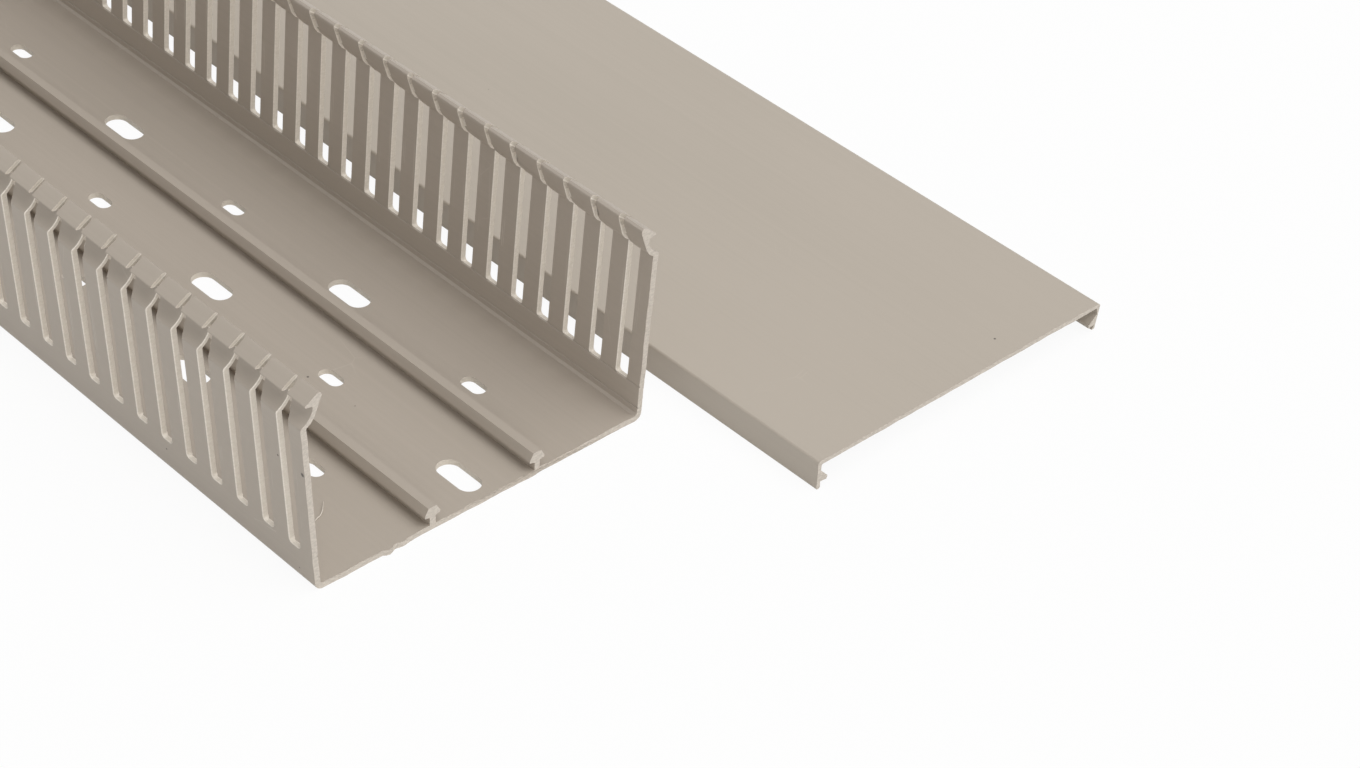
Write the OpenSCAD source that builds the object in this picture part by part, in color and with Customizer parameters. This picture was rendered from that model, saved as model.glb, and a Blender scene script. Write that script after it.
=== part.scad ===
// Slotted wire duct: a finger-walled channel extrusion with its clip-on cover laid beside it.
// The length runs along Y, the width along X, and the channel's underside is z = 0.
// The origin is the middle of the channel's underside. The cover rests on the same floor, legs down.

/* [Duct] */
// Width across the base, and width of the cover
duct_w = 101.2; // [80:0.2:150]
// Height from the underside to the top of a fitted cover
duct_h = 58.2; // [50:0.2:100]
// Length of the stock piece
length = 1000; // [200:100:2000]
// Thickness of the base
base_t = 1.6; // [1.4:0.1:2]
// Thickness of the side walls and their fingers
wall_t = 1.7; // [1.4:0.1:1.8]
// Outward lean of the free side walls, in degrees; a fitted cover pulls them upright
wall_lean = 3.5; // [0:0.1:6]
// Outer radius where the base turns into a wall
corner_r = 2.4; // [1.8:0.2:3]

/* [Fingers] */
// Distance from one slot to the next
pitch = 10; // [10:0.5:20]
// Width of a slot between two fingers
slot_w = 4; // [3:0.5:5]
// Height of the slots' feet above the underside
slot_foot = 10; // [9:1:20]
// Radius in the two corners of a slot's foot
slot_foot_r = 1; // [0.6:0.2:1.4]
// Width of the slit that holds wires in, between a neck's flare and the next neck
slit_w = 1.2; // [0.8:0.1:1.6]
// Width of the lead-in between two snap heads
lead_in_w = 1.8; // [1.6:0.1:3]
// How far the snap head on a slot's far side hangs over the slot
overhang = 0.3; // [0:0.1:0.6]
// What the saw left of the first finger at the near end
first_finger = 4.7; // [3:0.1:6]
// Depth of the two break-off grooves inside each wall
groove_depth = 0.3; // [0.2:0.1:0.4]

/* [Snap head] */
// How far the neck is set in from the wall's outer face, under the lip
neck_in = 3.9; // [3.6:0.1:4.2]
// Thickness of the neck
neck_t = 1.2; // [1:0.1:1.6]
// Radius of the bend that carries the neck inwards and up from the shoulder
neck_r = 5.9; // [5:0.1:6.5]
// How far the hooked lip is set in from the wall's outer face
lip_in = 1.9; // [1.6:0.1:2.2]
// How far the back of the snap head is set in from the wall's outer face
head_back = 6.7; // [5.6:0.1:7]
// Radius of the ridge between the head's top and its back
ridge_r = 0.8; // [0.4:0.1:1]
// Height of the snap head, from the lip's underside to its ridge
head_h = 3; // [2.8:0.1:3.6]
// Fall of the head's top from its ridge to the lip, in degrees
head_fall = 31; // [20:1:35]
// Depth of the recess that a cover's leg fills, from the ridge to the shoulder
recess_h = 8.5; // [8:0.1:9]

/* [Base] */
// Distance of each arrow rail from the middle of the base
rail_x = 16.2; // [12:0.2:20]
// Height of the arrow rails above the underside
rail_h = 6.8; // [6:0.2:8]
// Distance of each outer lane of holes from the middle lane
lane_x = 25.3; // [24:0.1:30]
// Distance from a large hole to the next small one
hole_step = 50; // [50:5:100]
// Length of a large oblong hole
large_l = 14; // [12:0.5:18]
// Width of a large oblong hole
large_w = 6.5; // [5.5:0.5:8]
// Length of a small oblong hole
small_l = 8; // [7:0.5:10]
// Width of a small oblong hole
small_w = 4.3; // [4:0.1:5]

/* [Cover] */
// Thickness of the cover's plate
plate_t = 1.2; // [1:0.1:1.4]
// Thickness of the cover's legs
leg_t = 1.15; // [1:0.05:1.3]
// Height of the cover, from the feet of its legs to its face
cover_h = 8.6; // [8:0.2:9]
// Free floor between the channel's base and the cover laid beside it
cover_gap = 13.4; // [8:0.1:40]
// How far the cover's near end lies beyond the channel's
cover_shift = 48; // [0:1:100]

/* [Hidden] */
stone_grey = [0.66, 0.62, 0.55];
stone_grey_light = [0.71, 0.67, 0.60];

half_w = duct_w / 2;
half_l = length / 2;
overcut = 1;                              // how far a cutter stands past what it cuts

// Levels of a side wall, from the shoulder up to the ridge of its snap head
head_top = duct_h - plate_t;
lip_z = head_top - head_h;
shoulder_z = head_top - recess_h;
shoulder_edge = 0.7;

// The neck's bend: its steepness where it leaves the shoulder and under the lip, and its centre
steep_low = 25;
steep_high = 72;
bend_in = neck_in - 0.1 - neck_r * sin(steep_high);
bend_z = shoulder_z + shoulder_edge + neck_r * cos(steep_low);

// The lip's nose, where the sloping top of the head ends
nose_in = lip_in + 0.2;
slope_in = head_back - ridge_r * (1 + sin(head_fall));
back_lean = 20;                           // of the head's back, down towards the neck
nose_z = head_top - ridge_r * (1 - cos(head_fall)) - (slope_in - nose_in) * tan(head_fall);

// Break-off grooves: one at the slots' feet, one where the wall leaves the base
groove_half = 0.25;
wall_groove_z = base_t + 2.2;

// Arrow rail
stem_half = 0.9;
barb_half = 2.3;
tip_half = 1.2;
barb_z = 4.2;

// Rows along the length
least_finger = 2;                         // a slot that would leave less at the far end is left out
slot_count = floor((length - first_finger - slot_w - least_finger) / pitch) + 1;
first_outer_small = 35;                   // from the near end to the first hole of each lane
first_middle_large = 10;
end_margin = 3;                           // least distance from a hole to the far end

// Barb inside each leg of the cover, measured from the leg's outer face and from its foot
barb_tip_in = neck_in - 0.3;
barb_rise = 1.1;                          // slope of the barb's seat, from its tip up to the leg
barb_root_top = cover_h - plate_t - head_h + barb_rise;
barb_tip_top = 2.8;
barb_tip_low = 1.9;
barb_root_low = 2.1;

function arc(cx, cz, r, from, to, steps) =
    [for (i = [0:steps]) let (a = from + (to - from) * i / steps) [cx + r * cos(a), cz + r * sin(a)]];

function flip(points) = [for (i = [len(points) - 1:-1:0]) [-points[i][0], points[i][1]]];

// A point of the right wall: inset from its leaning outer face, at height z
function wall_point(inset, z) = [half_w + z * tan(wall_lean) - inset, z];

function groove(z) = [
    wall_point(wall_t, z + groove_half),
    wall_point(wall_t - groove_depth, z),
    wall_point(wall_t, z - groove_half)
];

// One side of the neck, at a distance from the centre of its bend and between two steepnesses
function neck_side(r, from, to, steps) =
    [for (i = [0:steps]) let (a = from + (to - from) * i / steps)
        wall_point(bend_in + r * sin(a), bend_z - r * cos(a))];

// The round ridge of the head, from its sloping top to its back, which leans on down to the neck
function ridge() =
    [for (i = [0:3]) let (a = 90 + head_fall - i * (90 + head_fall + back_lean) / 3)
        wall_point(head_back - ridge_r * (1 - cos(a)), head_top - ridge_r * (1 - sin(a)))];

function snap_head() = concat(
    [wall_point(0, shoulder_z)],
    [wall_point(0.2, shoulder_z + 0.6 * shoulder_edge)],
    neck_side(neck_r, steep_low, steep_high, 4),
    [wall_point(neck_in, lip_z - 0.3)],
    [wall_point(neck_in - 0.2, lip_z)],
    [wall_point(nose_in, lip_z + 0.2)],
    [wall_point(lip_in, lip_z + 0.5)],
    [wall_point(nose_in, nose_z)],
    ridge(),
    neck_side(neck_r + neck_t, steep_high, asin((wall_t - bend_in) / (neck_r + neck_t)), 3)
);

function arrow_rail() = [
    [rail_x + stem_half, base_t],
    [rail_x + stem_half, barb_z - 0.3],
    [rail_x + barb_half, barb_z],
    [rail_x + barb_half, barb_z + 0.7],
    [rail_x + tip_half, rail_h],
    [rail_x - tip_half, rail_h],
    [rail_x - barb_half, barb_z + 0.7],
    [rail_x - barb_half, barb_z],
    [rail_x - stem_half, barb_z - 0.3],
    [rail_x - stem_half, base_t]
];

function half_section() = concat(
    arc(half_w - corner_r, corner_r, corner_r, -90, 0, 6),
    snap_head(),
    groove(slot_foot),
    groove(wall_groove_z),
    [wall_point(wall_t, base_t + 0.6)],
    [wall_point(wall_t + 0.6, base_t)],
    arrow_rail()
);

// Runs an outline drawn in X and Z along Y
module along_length(from, run) {
    translate([0, from + run, 0]) rotate([90, 0, 0]) linear_extrude(run) children();
}

// Outline of one slot: on its near side the finger flares at the shoulder, which leaves the slit,
// and steps back at the snap head, which leaves the lead-in; the far side runs almost straight up
module slot_outline() {
    far = slot_w / 2;
    flare = far - slit_w - overhang / 2;
    head_side = far - overhang - lead_in_w;
    polygon([
        [-far, slot_foot + slot_foot_r],
        [-far, shoulder_z + 0.2],
        [flare - 0.6, shoulder_z + 1.8],
        [flare, shoulder_z + 3.6],
        [flare, lip_z - 0.2],
        [head_side, lip_z + 0.4],
        [head_side, head_top + overcut],
        [far - overhang, head_top + overcut],
        [far - overhang, lip_z],
        [far, shoulder_z + 1.8],
        [far, slot_foot + slot_foot_r]
    ]);
    translate([slot_foot_r - slot_w / 2, slot_foot])
        square([slot_w - 2 * slot_foot_r, 2 * slot_foot_r]);
    for (side = [-1, 1])
        translate([side * (slot_w / 2 - slot_foot_r), slot_foot + slot_foot_r])
            circle(slot_foot_r, $fn = 24);
}

// Every slot cuts both walls at once, square to the length
module wall_slots() {
    reach = duct_w + 2 * duct_h;
    translate([-reach / 2, 0, 0]) rotate([90, 0, 90]) linear_extrude(reach)
        for (i = [0:slot_count - 1])
            translate([first_finger + slot_w / 2 + i * pitch - half_l, 0]) slot_outline();
}

module oblong(run, width) {
    straight = run - width;
    square([width, straight], center = true);
    for (side = [-1, 1])
        translate([0, side * straight / 2]) circle(width / 2, $fn = 32);
}

// One lane of holes, large and small in turn, from the first hole of each kind
module hole_lane(x, first_large, first_small) {
    for (y = [first_large:2 * hole_step:length - large_l / 2 - end_margin])
        translate([x, y - half_l]) oblong(large_l, large_w);
    for (y = [first_small:2 * hole_step:length - small_l / 2 - end_margin])
        translate([x, y - half_l]) oblong(small_l, small_w);
}

module base_holes() {
    translate([0, 0, -overcut]) linear_extrude(base_t + 2 * overcut) {
        hole_lane(0, first_middle_large, first_middle_large + hole_step);
        for (side = [-1, 1])
            hole_lane(side * lane_x, first_outer_small + hole_step, first_outer_small);
    }
}

module channel() {
    color(stone_grey) difference() {
        along_length(-half_l, length) polygon(concat(half_section(), flip(half_section())));
        wall_slots();
        base_holes();
    }
}

// Half of the cover's section, about its own middle, feet at z = 0
function half_cover() = [
    [0, cover_h - plate_t],
    [half_w - leg_t - 0.3, cover_h - plate_t],
    [half_w - leg_t, cover_h - plate_t - 0.3],
    [half_w - leg_t, barb_root_top],
    [half_w - barb_tip_in, barb_tip_top],
    [half_w - barb_tip_in + 0.4, barb_tip_low],
    [half_w - leg_t, barb_root_low],
    [half_w - leg_t, 0.4],
    [half_w - leg_t + 0.4, 0],
    [half_w - 0.2, 0],
    [half_w, 0.3]
];

module cover() {
    edge_r = 0.7;
    section = concat(half_cover(), arc(half_w - edge_r, cover_h - edge_r, edge_r, 0, 90, 5));
    color(stone_grey_light)
        translate([half_w + cover_gap + half_w, 0, 0])
            along_length(-half_l - cover_shift, length) polygon(concat(section, flip(section)));
}

channel();
cover();
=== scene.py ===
"""Looks of the slotted wire duct: a satin stone-grey PVC channel and its clip-on cover.

The channel's slots get sheared rims, painted pale as a highlight, and stress lines, and its snap heads are
rounded over, torn and bent a little, with a painted highlight on their rounded ends and tear line. Both
pieces get rough saw cuts, specks and scuffs, and a thread of swarf lies on the base.
"""

from __future__ import annotations

import collections
import logging
import math
import random
from dataclasses import dataclass
from enum import IntEnum
from typing import Callable, Iterable, Union

import bmesh
import bpy
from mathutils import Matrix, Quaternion, Vector, noise

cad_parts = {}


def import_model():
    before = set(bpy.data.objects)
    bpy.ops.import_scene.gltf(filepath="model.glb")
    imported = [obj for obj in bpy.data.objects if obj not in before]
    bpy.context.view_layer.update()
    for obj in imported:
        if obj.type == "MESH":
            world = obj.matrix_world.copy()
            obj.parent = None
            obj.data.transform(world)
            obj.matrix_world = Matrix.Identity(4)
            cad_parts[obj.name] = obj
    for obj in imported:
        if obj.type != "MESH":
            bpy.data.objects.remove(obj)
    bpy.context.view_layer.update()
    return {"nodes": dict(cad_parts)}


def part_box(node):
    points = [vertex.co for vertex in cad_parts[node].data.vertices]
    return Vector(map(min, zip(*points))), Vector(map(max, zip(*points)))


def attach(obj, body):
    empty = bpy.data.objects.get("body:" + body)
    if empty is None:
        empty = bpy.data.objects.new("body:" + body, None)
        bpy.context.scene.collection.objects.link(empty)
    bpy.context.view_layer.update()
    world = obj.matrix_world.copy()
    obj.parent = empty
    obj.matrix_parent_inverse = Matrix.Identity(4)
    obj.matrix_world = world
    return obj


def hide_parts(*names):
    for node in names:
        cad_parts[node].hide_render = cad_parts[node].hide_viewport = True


LOG = logging.getLogger("slotted_wire_duct")

MM = 0.001
BODY = "root"
PITCH = 10 * MM                    # from one slot to the next
SLOT = 4 * MM                      # width of a slot
FIRST_FINGER = 4.7 * MM            # what the saw left of the near finger
HALF_LENGTH = 500 * MM
# Added to Y, this gives whole pitches at the slots' near sides, and never less than zero.
SLOT_ORIGIN = HALF_LENGTH - FIRST_FINGER + 100 * PITCH
BURR_TOP = 4 * MM                  # burrs stand below this height
# A sawn edge that is longer than the first number is cut as often as the second one says.
RIM_CUTS = ((20 * MM, 59), (3 * MM, 5), (1.2 * MM, 1))
# Each stress line's distance from its slot's near side, and half its width.
STRESS_LINES = ((-0.9 * MM, 0.10 * MM), (-1.5 * MM, 0.06 * MM), (SLOT + 0.8 * MM, 0.08 * MM))
STRESS_FROM = 50 * MM              # stress lines lie further than this from the middle
STRESS_FOOT = (16 * MM, 22 * MM)   # heights over which they come in
STRESS_HEAD = (44 * MM, 34 * MM)   # heights over which they are gone and still whole
HAIR = 0.01 * MM                   # places nearer than this are the same
SLACK = 0.1 * MM                   # allowed when a face's place is looked up
FACING = 0.99                      # share of a normal along the axis that it faces
CREASE = math.radians(40.0)        # edges sharper than this stay sharp

PALE = (0.66, 0.61, 0.54)          # plastic that stress or a scratch has whitened
SCUFFED = (0.62, 0.57, 0.50)       # plastic rubbed in handling
SPECK = (0.055, 0.045, 0.038)      # a single dark speck
DUST = (0.06, 0.05, 0.04)          # scattered dark dots
SAWDUST = (0.12, 0.11, 0.10)       # what a rough cut holds

Socket = bpy.types.NodeSocket
Value = Union[float, tuple, Socket]


class Finish(IntEnum):
    """Which finish a face has; the number is its material slot on the piece."""

    SKIN = 0
    SHEARED = 1
    # Pale sheared plastic with a painted highlight: rims, rounded head ends and the tear band are coloured
    # bright to stand in for light caught on their edges.
    RIM = 2
    TORN = 3
    SAWN = 4


class Graph:
    """Adds nodes to one node tree and links them."""

    def __init__(self, tree: bpy.types.NodeTree) -> None:
        """Takes the tree that the nodes go into."""
        self.tree = tree

    def add(self, kind: str, inputs: dict[str | int, Value] | None = None,
            **settings: object) -> bpy.types.Node:
        """Adds one node.

        Args:
            kind: Its type without the ShaderNode prefix.
            inputs: A plain value or another node's output for each named socket.
            settings: The node's own settings.

        Returns:
            The new node.
        """
        node = self.tree.nodes.new("ShaderNode" + kind)
        for name, value in settings.items():
            setattr(node, name, value)
        for name, value in (inputs or {}).items():
            if isinstance(value, bpy.types.NodeSocket):
                self.tree.links.new(value, node.inputs[name])
            else:
                node.inputs[name].default_value = value
        return node

    def calc(self, operation: str, *values: Value, clamp: bool = False) -> Socket:
        """The result of a Math node.

        Args:
            operation: The Math node's operation.
            values: Its operands in order.
            clamp: Whether the result is kept between 0 and 1.

        Returns:
            The result's socket.
        """
        return self.add("Math", dict(enumerate(values)), operation=operation, use_clamp=clamp).outputs[0]

    def ramp(self, value: Value, low: float, high: float,
             bottom: float = 0.0, top: float = 1.0) -> Socket:
        """A smooth step of a value.

        Args:
            value: What is stepped.
            low: Where the step begins.
            high: Where it ends.
            bottom: The result before it.
            top: The result after it.

        Returns:
            The result's socket.
        """
        sockets = {"Value": value, "From Min": low, "From Max": high, "To Min": bottom, "To Max": top}
        return self.add("MapRange", sockets, interpolation_type="SMOOTHSTEP").outputs[0]

    def tint(self, factor: Value, a: Value, b: Value, blend: str = "MIX") -> Socket:
        """A mix of two colours.

        Args:
            factor: How much of the second.
            a: The first colour.
            b: The second colour.
            blend: How they are blended.

        Returns:
            The mixed colour's socket.
        """
        mix = self.add("Mix", {0: factor, 6: a, 7: b}, data_type="RGBA", blend_type=blend)
        return mix.outputs[2]

    def stretched(self, position: Value, scale: tuple[float, float, float]) -> Socket:
        """A position scaled along each axis."""
        return self.add("Mapping", {"Vector": position, "Scale": scale}).outputs[0]

    def cloud(self, position: Value, scale: float, detail: float = 2.0, rough: float = 0.5) -> Socket:
        """The value of a noise texture at a position."""
        sockets = {"Vector": position, "Scale": scale, "Detail": detail, "Roughness": rough}
        return self.add("TexNoise", sockets).outputs["Fac"]


def effect(name: str, inputs: dict[str, float], outputs: Iterable[str],
           build: Callable[[Graph, Socket, dict[str, Socket]], dict[str, Socket]]) -> bpy.types.NodeTree:
    """Builds a shared effect as a node group that reads a position.

    Args:
        name: The group's name.
        inputs: Each number it takes, with its default.
        outputs: The names of the values that it gives.
        build: Takes the graph, the position and the inputs, and returns what goes to each output.

    Returns:
        The node group.
    """
    tree = bpy.data.node_groups.new(name, "ShaderNodeTree")
    tree.interface.new_socket("Position", in_out="INPUT", socket_type="NodeSocketVector")
    for label, default in inputs.items():
        entrance = tree.interface.new_socket(label, in_out="INPUT", socket_type="NodeSocketFloat")
        entrance.default_value = default
    for label in outputs:
        tree.interface.new_socket(label, in_out="OUTPUT", socket_type="NodeSocketFloat")
    graph = Graph(tree)
    entry = tree.nodes.new("NodeGroupInput")
    leave = tree.nodes.new("NodeGroupOutput")
    given = build(graph, entry.outputs["Position"], {label: entry.outputs[label] for label in inputs})
    for label, socket in given.items():
        tree.links.new(socket, leave.inputs[label])
    return tree


class Effects:
    """The node groups that several finishes use, each built once."""

    def __init__(self) -> None:
        """Builds every group."""
        self.drawn = effect("drawn_streaks", {"Streak": 1.0}, ("Tone", "Height"), self._drawn)
        self.specks = effect("dark_specks", {"Spacing": 9.0, "Amount": 0.02}, ("Mask",), self._specks)
        self.scuffs = effect("handling_scuffs", {"Scale": 60.0}, ("Mask",), self._scuffs)
        self.ragged = effect("ragged_break", {"Scale": 1.0}, ("Tone", "Height"), self._ragged)
        self.stress = effect("punch_stress", {"Strength": 0.5}, ("Mask",), self._stress)

    @staticmethod
    def _drawn(graph: Graph, position: Socket, given: dict[str, Socket]) -> dict[str, Socket]:
        """Fine lines along the extrusion, over a broad cloudiness and the plastic's own grain."""
        lines = graph.cloud(graph.stretched(position, (900.0, 4.0, 900.0)), 1.0, 3.0)
        broad = graph.cloud(graph.stretched(position, (14.0, 5.0, 14.0)), 1.0, 2.0)
        grain = graph.cloud(position, 2600.0, 2.0)
        streak = graph.calc("MULTIPLY", graph.calc("SUBTRACT", lines, 0.5), given["Streak"])
        tone = graph.calc("ADD", graph.calc("MULTIPLY", streak, 0.5), broad)
        height = graph.calc("ADD", streak, graph.calc("MULTIPLY", grain, 0.6))
        return {"Tone": tone, "Height": height}

    @staticmethod
    def _specks(graph: Graph, position: Socket, given: dict[str, Socket]) -> dict[str, Socket]:
        """A few small dark dots, in the cells that a random number picks."""
        scale = graph.calc("DIVIDE", 1000.0, given["Spacing"])
        cells = graph.add("TexVoronoi", {"Vector": position, "Scale": scale})
        near = graph.ramp(cells.outputs["Distance"], 0.045, 0.02)
        chance = graph.add("SeparateColor", {0: cells.outputs["Color"]}).outputs[0]
        picked = graph.calc("LESS_THAN", chance, given["Amount"])
        return {"Mask": graph.calc("MULTIPLY", near, picked)}

    @staticmethod
    def _scuffs(graph: Graph, position: Socket, given: dict[str, Socket]) -> dict[str, Socket]:
        """Thin pale scratches that come and go."""
        cells = graph.add("TexVoronoi", {"Vector": position, "Scale": given["Scale"]},
                          feature="DISTANCE_TO_EDGE")
        line = graph.ramp(cells.outputs["Distance"], 0.012, 0.0)
        patch = graph.ramp(graph.cloud(position, 31.0), 0.6, 0.75)
        return {"Mask": graph.calc("MULTIPLY", line, patch)}

    @staticmethod
    def _ragged(graph: Graph, position: Socket, given: dict[str, Socket]) -> dict[str, Socket]:
        """The torn grain that a blunt blade leaves across the wall."""
        sized = graph.add("VectorMath", {0: position, "Scale": given["Scale"]}, operation="SCALE").outputs[0]
        coarse = graph.cloud(graph.stretched(sized, (900.0, 900.0, 1800.0)), 1.0, 3.0, 0.6)
        fine = graph.cloud(sized, 5200.0, 2.0)
        return {"Tone": coarse, "Height": graph.calc("ADD", coarse, graph.calc("MULTIPLY", fine, 0.4))}

    @staticmethod
    def _stress(graph: Graph, position: Socket, given: dict[str, Socket]) -> dict[str, Socket]:
        """Thin pale lines that run up the walls beside the slots."""
        axes = graph.add("SeparateXYZ", {0: position})
        in_cell = graph.calc("MODULO", graph.calc("ADD", axes.outputs["Y"], SLOT_ORIGIN), PITCH)
        lines = None
        for beside, half in STRESS_LINES:
            away = graph.calc("ABSOLUTE", graph.calc("SUBTRACT", in_cell, beside % PITCH))
            line = graph.ramp(away, 1.8 * half, 0.5 * half)
            lines = line if lines is None else graph.calc("MAXIMUM", lines, line)
        patch = graph.ramp(graph.cloud(graph.stretched(position, (40.0, 260.0, 55.0)), 1.0), 0.50, 0.66)
        low = graph.ramp(axes.outputs["Z"], *STRESS_FOOT)
        high = graph.ramp(axes.outputs["Z"], *STRESS_HEAD)
        in_wall = graph.calc("GREATER_THAN", graph.calc("ABSOLUTE", axes.outputs["X"]), STRESS_FROM)
        mask = graph.calc("MULTIPLY", graph.calc("MULTIPLY", lines, patch), graph.calc("MULTIPLY", low, high))
        mask = graph.calc("MULTIPLY", mask, in_wall)
        return {"Mask": graph.calc("MULTIPLY", mask, given["Strength"])}


@dataclass(frozen=True)
class Pvc:
    """Stone-grey PVC in one of its states: as drawn, as sheared, as torn or as sawn.

    Attributes:
        name: The material's name.
        tone: Its colour.
        shade: The darker colour that it varies to.
        roughness: Of the surface.
        relief: Height of its bump, in metres.
    """

    name: str
    tone: tuple[float, float, float]
    shade: tuple[float, float, float]
    roughness: float
    relief: float

    def start(self) -> tuple[bpy.types.Material, Graph, Socket, bpy.types.Node]:
        """Makes the material.

        Returns:
            The material, its graph, the position on the piece, and its shader.
        """
        material = bpy.data.materials.new(self.name)
        material.use_nodes = True
        graph = Graph(material.node_tree)
        shader = material.node_tree.nodes["Principled BSDF"]
        shader.inputs["Roughness"].default_value = self.roughness
        shader.inputs["IOR"].default_value = 1.5
        material.diffuse_color = (*self.tone, 1.0)
        return material, graph, graph.add("TexCoord").outputs["Object"], shader

    def close(self, graph: Graph, shader: bpy.types.Node, colour: Socket, height: Socket) -> None:
        """Links the colour and the bump to the shader."""
        bump = graph.add("Bump", {"Height": height, "Distance": self.relief, "Strength": 1.0})
        graph.tree.links.new(colour, shader.inputs["Base Color"])
        graph.tree.links.new(bump.outputs["Normal"], shader.inputs["Normal"])


@dataclass(frozen=True)
class Mark:
    """A small mark on a surface: a speck where its two ends meet, a stroke where they don't.

    Attributes:
        start: One end of it, in metres.
        end: The other end.
        radius: Half its width.
        tone: Its colour.
        strength: How far it covers what is under it.
    """

    start: tuple[float, float, float]
    end: tuple[float, float, float]
    radius: float
    tone: tuple[float, float, float]
    strength: float

    def over(self, graph: Graph, position: Socket, colour: Socket) -> Socket:
        """Lays the mark over a colour.

        Args:
            graph: The material's graph.
            position: The position on the piece.
            colour: The colour so far.

        Returns:
            The colour with the mark on it.
        """
        along = Vector(self.end) - Vector(self.start)
        offset = graph.add("VectorMath", {0: position, 1: self.start}, operation="SUBTRACT").outputs[0]
        away = offset
        if along.length > 0.0:
            share = graph.add("VectorMath", {0: offset, 1: tuple(along / along.length_squared)},
                              operation="DOT_PRODUCT").outputs["Value"]
            share = graph.calc("ADD", share, 0.0, clamp=True)
            foot = graph.add("VectorMath", {0: tuple(along), "Scale": share}, operation="SCALE").outputs[0]
            away = graph.add("VectorMath", {0: offset, 1: foot}, operation="SUBTRACT").outputs[0]
        away = graph.add("VectorMath", {0: away}, operation="LENGTH").outputs["Value"]
        cover = graph.ramp(away, self.radius, 0.4 * self.radius, 0.0, self.strength)
        return graph.tint(cover, colour, (*self.tone, 1.0))


@dataclass(frozen=True)
class DrawnPvc(Pvc):
    """The extrusion's own satin skin.

    Attributes:
        marks: The specks and scratches on it.
        stressed: Whether punching left pale stress lines beside its slots.
    """

    marks: tuple[Mark, ...] = ()
    stressed: bool = False

    def build(self, effects: Effects) -> bpy.types.Material:
        """Builds the material.

        Args:
            effects: The shared node groups.

        Returns:
            The material.
        """
        material, graph, position, shader = self.start()
        drawn = graph.add("Group", {}, node_tree=effects.drawn)
        graph.tree.links.new(position, drawn.inputs["Position"])
        colour = graph.tint(graph.ramp(drawn.outputs["Tone"], 0.25, 0.75),
                            (*self.shade, 1.0), (*self.tone, 1.0))
        scuffs = graph.add("Group", {}, node_tree=effects.scuffs)
        graph.tree.links.new(position, scuffs.inputs["Position"])
        rubbed = graph.calc("MULTIPLY", scuffs.outputs["Mask"], 0.25)
        colour = graph.tint(rubbed, colour, (*SCUFFED, 1.0))
        if self.stressed:
            stress = graph.add("Group", {}, node_tree=effects.stress)
            graph.tree.links.new(position, stress.inputs["Position"])
            colour = graph.tint(stress.outputs["Mask"], colour, (*PALE, 1.0))
        specks = graph.add("Group", {}, node_tree=effects.specks)
        graph.tree.links.new(position, specks.inputs["Position"])
        dusty = graph.calc("MULTIPLY", specks.outputs["Mask"], 0.6)
        colour = graph.tint(dusty, colour, (*DUST, 1.0))
        for mark in self.marks:
            colour = mark.over(graph, position, colour)
        self.close(graph, shader, colour, drawn.outputs["Height"])
        return material


@dataclass(frozen=True)
class BrokenPvc(Pvc):
    """PVC that a blade has sheared, torn or sawn: paler, duller and ragged.

    Attributes:
        scale: Fineness of the ragged grain.
        grit: How much dark sawdust sits in it.
    """

    scale: float = 1.0
    grit: float = 0.0

    def build(self, effects: Effects) -> bpy.types.Material:
        """Builds the material.

        Args:
            effects: The shared node groups.

        Returns:
            The material.
        """
        material, graph, position, shader = self.start()
        ragged = graph.add("Group", {"Scale": self.scale}, node_tree=effects.ragged)
        graph.tree.links.new(position, ragged.inputs["Position"])
        colour = graph.tint(graph.ramp(ragged.outputs["Tone"], 0.35, 0.65),
                            (*self.shade, 1.0), (*self.tone, 1.0))
        if self.grit:
            specks = graph.add("Group", {"Spacing": 1.3, "Amount": self.grit}, node_tree=effects.specks)
            graph.tree.links.new(position, specks.inputs["Position"])
            gritty = graph.calc("MULTIPLY", specks.outputs["Mask"], 0.6)
            colour = graph.tint(gritty, colour, (*SAWDUST, 1.0))
        self.close(graph, shader, colour, ragged.outputs["Height"])
        return material


def wobble(place: Vector, spacing: float, seed: float) -> float:
    """Smooth noise from -1 to 1.

    Args:
        place: Where, in metres.
        spacing: Distance from one bump to the next.
        seed: Moves the pattern.

    Returns:
        The noise at that place.
    """
    return noise.noise(place / spacing + Vector((seed, seed, seed)))


def is_punched(face: bmesh.types.BMFace) -> bool:
    """Whether a face was cut by the punch rather than drawn or sawn."""
    return face.material_index in (Finish.SHEARED, Finish.TORN)


def cut_across(skin: bmesh.types.BMesh, faces: Iterable[bmesh.types.BMFace],
               place: Vector, normal: Vector) -> list[bmesh.types.BMFace]:
    """Cuts some faces in two along a plane, and keeps both halves.

    Args:
        skin: The mesh that they belong to.
        faces: The faces.
        place: A place on the plane.
        normal: The plane's normal.

    Returns:
        The faces after the cut.
    """
    parts = dict.fromkeys(part for face in faces for part in (*face.verts, *face.edges, face))
    cut = bmesh.ops.bisect_plane(skin, geom=list(parts), plane_co=place, plane_no=normal)
    return [part for part in cut["geom"] if isinstance(part, bmesh.types.BMFace)]


@dataclass(frozen=True)
class Burr:
    """A ragged tongue of plastic that the saw left on an end.

    Attributes:
        x: Where its middle is across the piece.
        width: How wide it is.
        reach: How far it stands out.
    """

    x: float
    width: float
    reach: float

    def at(self, x: float) -> float:
        """How far it stands out at a place across the piece."""
        share = max(0.0, 1.0 - abs(x - self.x) / (self.width / 2))
        return self.reach * math.sqrt(share)


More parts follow.
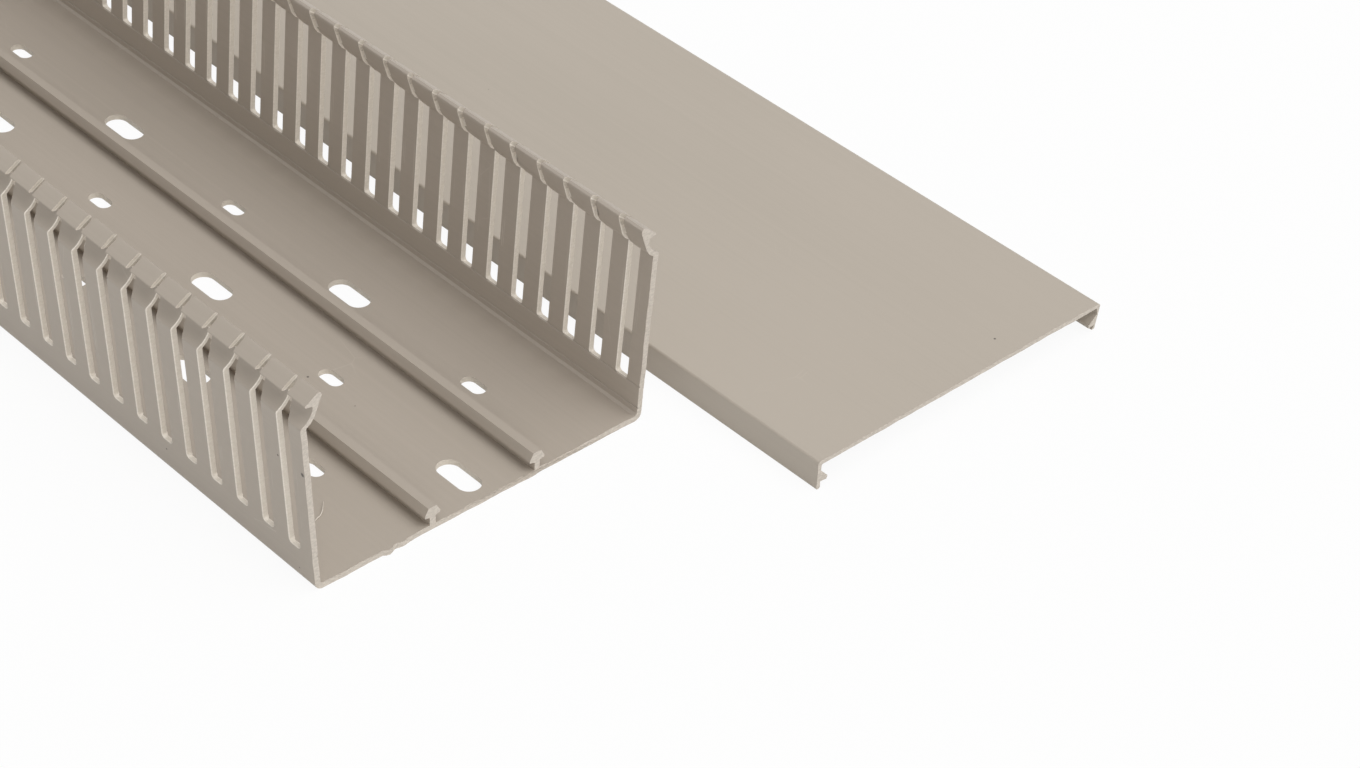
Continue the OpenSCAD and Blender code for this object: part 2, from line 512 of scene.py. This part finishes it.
@dataclass
class PackedPiece:
    """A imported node's mesh, welded and worked on as one closed skin.

    Attributes:
        node: The CAD node that the piece stands for.
        name: The piece's name.
    """

    node: bpy.types.Object
    name: str

    def __post_init__(self) -> None:
        """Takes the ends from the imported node."""
        low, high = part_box(self.node.name)
        self.near, self.far = low.y, high.y

    def lift(self) -> bmesh.types.BMesh:
        """A welded copy of the node's mesh, with its flat faces joined.

        Returns:
            The mesh, every face of it drawn skin.
        """
        skin = bmesh.new()
        skin.from_mesh(self.node.data)
        bmesh.ops.remove_doubles(skin, verts=skin.verts, dist=0.001 * MM)
        bmesh.ops.dissolve_limit(skin, angle_limit=math.radians(0.5), verts=skin.verts, edges=skin.edges)
        for face in skin.faces:
            face.material_index = Finish.SKIN
        return skin

    def saw(self, skin: bmesh.types.BMesh, depth: float, burrs: tuple[Burr, ...] = ()) -> None:
        """Cuts both ends roughly, the near one with its burrs.

        Args:
            skin: The piece's mesh.
            depth: How far the saw wandered.
            burrs: What it left standing at the near end.
        """
        for end, way, left in ((self.near, -1.0, burrs), (self.far, 1.0, ())):
            cut = [f for f in skin.faces if f.normal.y * way > FACING and abs(f.verts[0].co.y - end) < HAIR]
            for length, cuts in RIM_CUTS:
                rim = dict.fromkeys(e for f in cut for e in f.edges if e.calc_length() > length)
                bmesh.ops.subdivide_edges(skin, edges=list(rim), cuts=cuts)
            bmesh.ops.triangulate(skin, faces=cut)
            for vert in [v for v in skin.verts if abs(v.co.y - end) < HAIR]:
                for face in vert.link_faces:
                    if face.normal.y * way > FACING:
                        face.material_index = Finish.SAWN
                place = Vector((vert.co.x, 0.0, vert.co.z))
                coarse = wobble(place, 4.3 * MM, end)
                fine = wobble(place, 1.1 * MM, 3 * end)
                reach = sum(burr.at(vert.co.x) for burr in left) if vert.co.z < BURR_TOP else 0.0
                vert.co.y += depth * (0.7 * coarse + 0.3 * fine) + way * reach

    def land(self, skin: bmesh.types.BMesh, materials: Iterable[bpy.types.Material]) -> bpy.types.Object:
        """Turns the mesh into the piece that stands for its node.

        Args:
            skin: The worked mesh.
            materials: One for each finish, in the finishes' order.

        Returns:
            The piece.
        """
        for face in skin.faces:
            face.smooth = True
        for edge in skin.edges:
            edge.smooth = edge.calc_face_angle(0.0) < CREASE
        mesh = bpy.data.meshes.new(self.name)
        skin.to_mesh(mesh)
        skin.free()
        for material in materials:
            mesh.materials.append(material)
        piece = bpy.data.objects.new(self.name, mesh)
        bpy.context.scene.collection.objects.link(piece)
        piece.modifiers.new("weighted_normal", "WEIGHTED_NORMAL").keep_sharp = True
        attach(piece, BODY)
        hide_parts(self.node.name)
        LOG.info("%s: %d faces", self.name, len(mesh.polygons))
        return piece


@dataclass
class Channel(PackedPiece):
    """The open channel: perforated base, arrow rails and two slotted walls with snap heads.

    Attributes:
        foot: Height of the slots' feet.
        shoulder: Height of the shoulder that the necks rise from.
        shoulder_x: Distance of the shoulder from the middle.
        lip: Height of the snap heads' hooked lip.
        heart: Place of the middle of a head's section.
        nose: Place of the lip's nose, where the head's sloping top ends.
        fall: Fall of the head's top from its ridge to the nose, in degrees.
        head_top: Height of the snap heads' ridges.
        wall_inside: Distance from the middle beyond which everything above the base is a wall.
        wall_blend: Width beyond wall_inside over which a wall's shift comes in.
        base: Thickness of the base.
        rim: Width of the sheared rim beside the slots.
        tear: Depths below a head's top where the punch stopped shearing, and from which it tore; the band
            between them is painted pale as a highlight.
        near_round: How far the punch rounded a head's near end over, along and across it.
        far_round: The same at its far end.
        round_steps: Where a rounded end is cut across, as shares of its length.
        round_highlight: Share of a rounded end that is painted pale as a highlight.
        foot_shift: How far both walls' feet lie to the left of the drawn section.
        lean: How far a finger leans its own way at its top.
        bend: How far each wall's heads are bent outwards, left and right, in degrees.
        bend_over: Height above the shoulder over which the bend grows.
        swell: How tall each wall's heads are, left and right, for each height drawn.
    """

    foot: float = 10 * MM
    shoulder: float = 48.5 * MM
    shoulder_x: float = 53.5 * MM
    lip: float = 54.0 * MM
    heart: tuple[float, float] = (49.8 * MM, 54.9 * MM)
    nose: tuple[float, float] = (51.85 * MM, 54.8 * MM)
    fall: float = 31.0
    head_top: float = 57.0 * MM
    wall_inside: float = 44 * MM
    wall_blend: float = 4 * MM
    base: float = 1.6 * MM
    rim: float = 0.20 * MM
    tear: tuple[float, float] = (0.75 * MM, 1.05 * MM)
    near_round: tuple[float, float] = (1.3 * MM, 0.75 * MM)
    far_round: tuple[float, float] = (0.55 * MM, 0.4 * MM)
    round_steps: tuple[float, ...] = (0.12, 0.4, 1.0)
    round_highlight: float = 0.75
    foot_shift: float = 0.55 * MM
    lean: float = 0.12 * MM
    bend: tuple[float, float] = (0.0, 3.0)
    bend_over: float = 2 * MM
    swell: tuple[float, float] = (1.0, 1.2)

    def along_slot(self, y: float) -> float:
        """Distance of a place along the length from the middle of its slot."""
        first = self.near + FIRST_FINGER + SLOT / 2
        return (y - first + PITCH / 2) % PITCH - PITCH / 2

    def finger(self, y: float) -> int:
        """The number of the finger at a place along the length."""
        return math.floor((y - self.near - FIRST_FINGER - SLOT / 2) / PITCH)

    def build(self, materials: Iterable[bpy.types.Material], burrs: tuple[Burr, ...]) -> bpy.types.Object:
        """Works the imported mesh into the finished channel.

        Args:
            materials: One for each finish.
            burrs: What the saw left standing at the near end.

        Returns:
            The piece.
        """
        skin = self.lift()
        self._sort_punched(skin)
        self._shear_rims(skin)
        self._tear_heads(skin)
        self._round_heads(skin)
        self.saw(skin, depth=0.25 * MM, burrs=burrs)
        self._bend_fingers(skin)
        return self.land(skin, materials)

    def _sort_punched(self, skin: bmesh.types.BMesh) -> None:
        """Marks the faces that the punch cut: slots, head ends and the base's holes."""
        for face in skin.faces:
            middle = face.calc_center_median()
            in_wall = abs(middle.x) > self.wall_inside
            if not self.near + MM < middle.y < self.far - MM and abs(face.normal.y) > FACING:
                continue
            in_slot = abs(self.along_slot(middle.y)) < SLOT / 2 + SLACK
            if in_wall and middle.z > self.foot - SLACK and in_slot and abs(face.normal.x) < 0.01:
                on_head = middle.z > self.lip and abs(face.normal.y) > 0.9
                face.material_index = Finish.TORN if on_head else Finish.SHEARED
            elif not in_wall and middle.z < self.base and abs(face.normal.z) < 0.1:
                if max(v.co.z for v in face.verts) < self.base + HAIR:
                    face.material_index = Finish.SHEARED

    def _shear_rims(self, skin: bmesh.types.BMesh) -> None:
        """Rounds the edges that the punch left beside the slots and on the necks, and paints the rounded
        strips pale as a highlight.
        """
        edges = [
            e for e in skin.edges
            if len(e.link_faces) == 2
            and is_punched(e.link_faces[0]) != is_punched(e.link_faces[1])
            and sum(v.co.z for v in e.verts) / 2 <= self.lip
            and abs(e.verts[0].co.x) > self.wall_inside
        ]
        made = bmesh.ops.bevel(skin, geom=edges, offset=self.rim, segments=1, profile=0.5,
                               affect="EDGES", material=-1, clamp_overlap=False)
        # Painted highlight: the rounded strips take the bright rim colour.
        for face in made["faces"]:
            face.material_index = Finish.RIM

    @staticmethod
    def _torn(skin: bmesh.types.BMesh, side: float) -> list[bmesh.types.BMFace]:
        """The torn faces of one wall: the left one where side is -1, the right one where it is 1."""
        return [f for f in skin.faces if f.material_index == Finish.TORN and side * f.verts[0].co.x > 0.0]

    def _tear_heads(self, skin: bmesh.types.BMesh) -> None:
        """Draws the line, on each head's two ends, where the punch stopped shearing and tore, painted pale as
        a highlight.
        """
        slope = math.radians(self.fall)
        for side in (-1.0, 1.0):
            across = Vector((side * math.sin(slope), 0.0, math.cos(slope)))
            top = Vector((side * self.nose[0], 0.0, self.nose[1]))
            for depth in self.tear:
                cut_across(skin, self._torn(skin, side), top - depth * across, across)
            for face in self._torn(skin, side):
                below = (top - face.calc_center_median()).dot(across)
                # Painted highlight: the band between the two depths takes the bright rim colour.
                if self.tear[0] < below < self.tear[1]:
                    face.material_index = Finish.RIM
                elif below < self.tear[0]:
                    face.material_index = Finish.SHEARED

    def _round_heads(self, skin: bmesh.types.BMesh) -> None:
        """Rounds over the two ends of every head, which the punch drew down with it, and paints their rims
        pale as a highlight.
        """
        heads = collections.defaultdict(list)
        for face in skin.faces:
            middle = face.calc_center_median()
            if abs(middle.x) > self.wall_inside and middle.z > self.lip - 2 * SLACK:
                heads[self.finger(middle.y), middle.x > 0.0].append(face)
        for faces in heads.values():
            ends = [v.co.y for f in faces for v in f.verts]
            low, high = min(ends), max(ends)
            for end, way, (along, across) in ((low, 1.0, self.near_round), (high, -1.0, self.far_round)):
                if min(abs(end - self.near), abs(end - self.far)) < MM:
                    continue
                for share in self.round_steps:
                    place = Vector((0.0, end + way * share * along, 0.0))
                    faces = cut_across(skin, faces, place, Vector((0.0, 1.0, 0.0)))
                # Painted highlight: the outer part of each rounded end takes the bright rim colour.
                for face in faces:
                    off = way * (face.calc_center_median().y - end)
                    if HAIR < off < self.round_highlight * along:
                        face.material_index = Finish.RIM
                for vert in dict.fromkeys(v for f in faces for v in f.verts):
                    off = way * (vert.co.y - end) / along
                    if off < 1.0 and vert.co.z > self.lip - SLACK:
                        heart = Vector((math.copysign(self.heart[0], vert.co.x), vert.co.y, self.heart[1]))
                        inward = heart - vert.co
                        drop = across * (1.0 - math.sqrt(1.0 - (1.0 - off) ** 2))
                        vert.co += inward * min(drop / inward.length, 0.6)

    def _bend_fingers(self, skin: bmesh.types.BMesh) -> None:
        """Bends and swells each row of heads, leans each finger and moves both feet to the left."""
        rise = self.head_top - self.foot
        chance = random.Random(11)
        places = 120                   # more than a wall has fingers
        leans = [[chance.gauss(0.0, self.lean) for _ in range(places)] for _ in range(2)]
        for vert in skin.verts:
            side = math.copysign(1.0, vert.co.x)
            low = min(max(1.0 - vert.co.z / self.shoulder, 0.0), 1.0)
            outside = min(max((abs(vert.co.x) - self.wall_inside) / self.wall_blend, 0.0), 1.0)
            vert.co.x -= self.foot_shift * low * outside
            if outside == 0.0 or vert.co.z < self.foot:
                continue
            if vert.co.z > self.lip:
                vert.co.z = self.lip + (vert.co.z - self.lip) * self.swell[side > 0.0]
            above = vert.co.z - self.shoulder
            if above > 0.0:
                out = side * vert.co.x - self.shoulder_x
                turn = math.radians(self.bend[side > 0.0]) * min(1.0, above / self.bend_over)
                vert.co.x = side * (self.shoulder_x + out * math.cos(turn) + above * math.sin(turn))
                vert.co.z = self.shoulder + above * math.cos(turn) - out * math.sin(turn)
            share = (vert.co.z - self.foot) / rise
            vert.co.x += leans[side > 0.0][self.finger(vert.co.y)] * share * share


@dataclass
class Cover(PackedPiece):
    """The clip-on cover, lying face up beside the channel.

    Attributes:
        leg: Width from the cover's edge that the right leg takes.
        bulge: How far the right leg stands out at its middle.
        bulge_end: Share of the leg's drop where the bulge ends.
        curl: How far its foot is curled inwards.
        curl_rise: How far the foot rises for each length that it is curled inwards.
        curl_from: Height below which it is curled.
    """

    leg: float = 6 * MM
    bulge: float = 0.5 * MM
    bulge_end: float = 0.8
    curl: float = 1.1 * MM
    curl_rise: float = 0.8
    curl_from: float = 2.6 * MM

    def build(self, materials: Iterable[bpy.types.Material]) -> bpy.types.Object:
        """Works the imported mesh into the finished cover.

        Args:
            materials: One for each finish.

        Returns:
            The piece.
        """
        skin = self.lift()
        self.saw(skin, depth=0.2 * MM)
        self._curl_right_leg(skin)
        return self.land(skin, materials)

    def _curl_right_leg(self, skin: bmesh.types.BMesh) -> None:
        """Bulges the right leg a little outwards and curls its foot in under it."""
        low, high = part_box(self.node.name)
        for vert in skin.verts:
            if vert.co.x < high.x - self.leg:
                continue
            drop = 1.0 - vert.co.z / (high.z - low.z)
            vert.co.x += self.bulge * math.sin(min(drop, self.bulge_end) / self.bulge_end * math.pi)
            share = max(0.0, 1.0 - vert.co.z / self.curl_from)
            vert.co.x -= self.curl * share ** 2
            vert.co.z += self.curl_rise * self.curl * share ** 2


@dataclass
class Swarf:
    """A thin curled shaving of plastic, lying where the saw or the punch dropped it.

    Attributes:
        name: The piece's name.
        points: Places along it, in millimetres.
        thickness: Its thickness in millimetres.
        tip: How thick its ends are beside its middle.
    """

    name: str
    points: tuple[tuple[float, float, float], ...]
    thickness: float
    tip: float = 0.35

    def build(self, material: bpy.types.Material) -> None:
        """Builds the shaving as a tapered cord along a smooth curve through its points."""
        curve = bpy.data.curves.new(self.name, "CURVE")
        curve.dimensions = "3D"
        curve.bevel_depth = self.thickness / 2 * MM
        curve.bevel_resolution = 2
        curve.resolution_u = 6
        spline = curve.splines.new("NURBS")
        spline.points.add(len(self.points) - 1)
        for i, (point, place) in enumerate(zip(spline.points, self.points)):
            point.co = (*(c * MM for c in place), 1.0)
            point.radius = self.tip + (1.0 - self.tip) * math.sin(math.pi * (i + 0.5) / len(self.points))
        spline.order_u = 3
        spline.use_endpoint_u = True
        curve.use_fill_caps = True
        curve.materials.append(material)
        piece = bpy.data.objects.new(self.name, curve)
        bpy.context.scene.collection.objects.link(piece)
        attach(piece, BODY)
        LOG.info("%s: %d points", self.name, len(self.points))


@dataclass(frozen=True)
class Softbox:
    """A broad soft lamp, far enough away to light the whole duct evenly.

    Attributes:
        name: Its name.
        towards: Direction from the duct to it.
        spread: Its width as seen from the duct, in degrees.
        strength: Of its light.
    """

    name: str
    towards: tuple[float, float, float]
    spread: float
    strength: float

    def build(self) -> None:
        """Hangs the lamp."""
        lamp = bpy.data.lights.new(self.name, "SUN")
        lamp.energy = self.strength
        lamp.angle = math.radians(self.spread)
        softbox = bpy.data.objects.new(self.name, lamp)
        softbox.rotation_mode = "QUATERNION"
        softbox.rotation_quaternion = Vector(self.towards).to_track_quat("Z", "Y")
        bpy.context.scene.collection.objects.link(softbox)


@dataclass
class Studio:
    """The plain floor, the soft light and the camera.

    Attributes:
        sky: Strength of the even light from all round.
        floor_half: Half the floor's side.
        floor_white: Share of plain white in the floor; the rest takes the object's shadow.
        azimuth: Which way the camera looks, in degrees anticlockwise from +Y.
        elevation: How far it looks down, in degrees.
        roll: How far it is rolled, in degrees.
        stand: Where it stands.
        lens: Its focal length in millimetres.
        sensor: Its sensor's width in millimetres.
        softboxes: The lamps.
    """

    sky: float = 0.42
    floor_half: float = 6.0
    floor_white: float = 0.93
    azimuth: float = -44.153
    elevation: float = 37.776
    roll: float = 2.78
    stand: tuple[float, float, float] = (-0.39528, -0.97199, 0.51410)
    lens: float = 88.45
    sensor: float = 36.0
    softboxes: tuple[Softbox, ...] = (
        Softbox("softbox_above", (0.25, -0.35, 0.90), 55.0, 1.65),
        Softbox("softbox_front", (-0.42, -0.86, 0.28), 45.0, 0.85),
    )

    def build(self) -> None:
        """Sets up the floor, the light and the camera."""
        bpy.context.scene.view_settings.view_transform = "Standard"
        self._floor()
        self._light()
        self._camera()

    def _floor(self) -> None:
        """A white floor that keeps a little of the object's shadow."""
        plane = bmesh.new()
        bmesh.ops.create_grid(plane, x_segments=1, y_segments=1, size=self.floor_half)
        mesh = bpy.data.meshes.new("floor")
        plane.to_mesh(mesh)
        plane.free()
        floor = bpy.data.objects.new("floor", mesh)
        bpy.context.scene.collection.objects.link(floor)
        material = bpy.data.materials.new("white_floor")
        material.use_nodes = True
        graph = Graph(material.node_tree)
        shader = material.node_tree.nodes["Principled BSDF"]
        shader.inputs["Base Color"].default_value = (0.85, 0.85, 0.84, 1.0)
        shader.inputs["Roughness"].default_value = 0.9
        seen = self._seen(graph)
        glow = graph.add("Emission", {"Color": (1.0, 1.0, 1.0, 1.0), "Strength": 1.0})
        share = graph.calc("MULTIPLY", seen, self.floor_white)
        mixed = graph.add("MixShader", {0: share, 1: shader.outputs[0], 2: glow.outputs[0]})
        graph.tree.links.new(mixed.outputs[0], material.node_tree.nodes["Material Output"].inputs["Surface"])
        mesh.materials.append(material)

    @staticmethod
    def _seen(graph: Graph) -> Socket:
        """Whether a ray comes from the camera, a reflection or a transmission."""
        path = graph.add("LightPath")
        seen = graph.calc("MAXIMUM", path.outputs["Is Camera Ray"], path.outputs["Is Glossy Ray"])
        return graph.calc("MAXIMUM", seen, path.outputs["Is Transmission Ray"])

    def _light(self) -> None:
        """An even sky, white where it is seen, and the softboxes."""
        world = bpy.data.worlds.new("studio")
        bpy.context.scene.world = world
        world.use_nodes = True
        graph = Graph(world.node_tree)
        strength = graph.tint(self._seen(graph), (self.sky,) * 3 + (1.0,), (1.0, 1.0, 1.0, 1.0))
        background = world.node_tree.nodes["Background"]
        world.node_tree.links.new(strength, background.inputs["Color"])
        for softbox in self.softboxes:
            softbox.build()

    def _camera(self) -> None:
        """A long lens at the near left, looking down along the duct."""
        azimuth = math.radians(self.azimuth)
        elevation = math.radians(self.elevation)
        towards = Vector((-math.sin(azimuth) * math.cos(elevation), math.cos(azimuth) * math.cos(elevation),
                          -math.sin(elevation)))
        data = bpy.data.cameras.new("camera")
        data.lens = self.lens
        data.sensor_width = self.sensor
        data.clip_start = 0.01
        data.clip_end = 50.0
        camera = bpy.data.objects.new("camera", data)
        camera.location = self.stand
        camera.rotation_mode = "QUATERNION"
        roll = Quaternion((0.0, 0.0, 1.0), math.radians(self.roll))
        camera.rotation_quaternion = towards.to_track_quat("-Z", "Y") @ roll
        bpy.context.scene.collection.objects.link(camera)
        bpy.context.scene.camera = camera


def speck(x: float, y: float, z: float, radius: float = 0.42) -> Mark:
    """A dark speck; its place and radius are in millimetres."""
    place = (x * MM, y * MM, z * MM)
    return Mark(place, place, radius * MM, SPECK, 0.9)


def scratch(start: tuple[float, float, float], end: tuple[float, float, float],
            strength: float = 0.4) -> Mark:
    """A pale scratch between two places in millimetres."""
    return Mark(tuple(c * MM for c in start), tuple(c * MM for c in end), 0.22 * MM, PALE, strength)


CHANNEL_MARKS = (
    speck(-4.3, -436.1, 1.6), speck(-2.5, -452.8, 1.6, 0.22), speck(-52.9, -499.2, 35.3, 0.75),
    speck(-52.9, -490.2, 35.5, 0.4), speck(-51.3, -494.3, 3.7, 0.3), speck(-51.5, -442.5, 6.8, 0.4),
    scratch((-51.6, -479.0, 8.0), (-51.6, -485.9, 9.3)),
    scratch((-51.5, -477.6, 7.7), (-51.7, -483.3, 9.9), 0.25),
)
COVER_MARKS = (speck(133.1, -541.1, 8.6),)

CHANNEL_SKIN = DrawnPvc("drawn_pvc_channel", tone=(0.445, 0.388, 0.328), shade=(0.415, 0.362, 0.303),
                        roughness=0.5, relief=0.02 * MM, marks=CHANNEL_MARKS, stressed=True)
COVER_SKIN = DrawnPvc("drawn_pvc_cover", tone=(0.470, 0.415, 0.350), shade=(0.445, 0.394, 0.330),
                      roughness=0.5, relief=0.02 * MM, marks=COVER_MARKS)
BROKEN_SKINS = {
    Finish.SHEARED: BrokenPvc("sheared_pvc", tone=(0.66, 0.60, 0.52), shade=(0.61, 0.55, 0.47),
                              roughness=0.5, relief=0.01 * MM),
    # Painted highlight: this rim colour is much paler than sheared plastic, standing in for light caught on
    # rounded edges.
    Finish.RIM: BrokenPvc("sheared_rim_pvc_painted_highlight", tone=(0.80, 0.74, 0.66), shade=(0.72, 0.66, 0.58),
                          roughness=0.5, relief=0.02 * MM),
    Finish.TORN: BrokenPvc("torn_pvc", tone=(0.58, 0.52, 0.44), shade=(0.44, 0.39, 0.33),
                           roughness=0.7, relief=0.08 * MM),
    Finish.SAWN: BrokenPvc("sawn_pvc", tone=(0.60, 0.54, 0.47), shade=(0.50, 0.45, 0.39),
                           roughness=0.75, relief=0.06 * MM, grit=0.3),
}

CHANNEL_BURRS = (
    Burr(-29.6 * MM, 3.2 * MM, 0.8 * MM),
    Burr(-25.5 * MM, 3.0 * MM, 0.4 * MM),
    Burr(14.0 * MM, 5.0 * MM, 0.3 * MM),
)
THREAD = (
    (-31.1, -477.2, 1.9), (-32.9, -479.4, 2.3), (-34.6, -480.8, 1.8),
    (-35.9, -481.0, 1.8), (-37.0, -481.6, 1.8),
)


def main() -> None:
    """Builds the finishes, the two pieces, the swarf and the studio."""
    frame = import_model()
    effects = Effects()
    broken = {finish: skin.build(effects) for finish, skin in BROKEN_SKINS.items()}
    Channel(frame["nodes"]["channel"], "finished_channel").build(
        [CHANNEL_SKIN.build(effects), *broken.values()], CHANNEL_BURRS)
    Cover(frame["nodes"]["cover"], "finished_cover").build([COVER_SKIN.build(effects), *broken.values()])
    # The swarf's pale colour is the rim colour: partly whitened plastic, partly a painted highlight.
    Swarf("swarf_thread", THREAD, thickness=0.26).build(broken[Finish.RIM])
    Studio().build()


if __name__ == "__main__":
    logging.basicConfig(level=logging.INFO, format="%(name)s: %(message)s")
    main()
